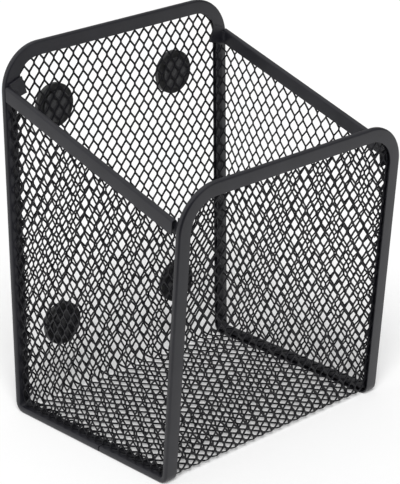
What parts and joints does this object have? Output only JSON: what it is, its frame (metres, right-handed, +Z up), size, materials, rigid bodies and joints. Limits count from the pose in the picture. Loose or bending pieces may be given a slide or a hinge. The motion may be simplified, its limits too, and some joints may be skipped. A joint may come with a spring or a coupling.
{
  "type": "magnetic pen holder",
  "caption": "Open-topped pen cup of black expanded steel mesh edged with steel channel, its front leaning out and lower than its back, with four disc magnets on the back for a metal wall or board.",
  "frame": {"origin": "bottom centre of the bounding box, at the height of the desk", "axes": "+Z up, +X across to the right as seen from the front, +Y towards the back, where the magnets face a wall"},
  "size_m": [0.1, 0.0888, 0.13],
  "materials": {
    "coated_mesh": "satin black powder coat on expanded steel",
    "coated_steel": "satin black powder coat",
    "magnet_cup": "matt black lacquer",
    "magnet_disc": "nickel-plated neodymium, ground flat",
    "adhesive": "black bonding pad"
  },
  "bodies": {
    "root": {"front_mesh": "coated_mesh", "floor_mesh": "coated_mesh", "back_mesh": "coated_mesh", "edge_channel": "coated_steel", "left_side_mesh": "coated_mesh", "right_side_mesh": "coated_mesh", "left_floor_flange": "coated_mesh", "left_back_flange": "coated_mesh", "left_front_flange": "coated_mesh", "right_floor_flange": "coated_mesh", "right_back_flange": "coated_mesh", "right_front_flange": "coated_mesh", "left_side_rim": "coated_steel", "right_side_rim": "coated_steel", "magnet_cup_top_left": "magnet_cup", "magnet_cup_top_right": "magnet_cup", "magnet_cup_bottom_left": "magnet_cup", "magnet_cup_bottom_right": "magnet_cup", "magnet_disc_top_left": "magnet_disc", "magnet_disc_top_right": "magnet_disc", "magnet_disc_bottom_left": "magnet_disc", "magnet_disc_bottom_right": "magnet_disc", "magnet_pad_top_left": "adhesive", "magnet_pad_top_right": "adhesive", "magnet_pad_bottom_left": "adhesive", "magnet_pad_bottom_right": "adhesive"}
  },
  "joints": []
}
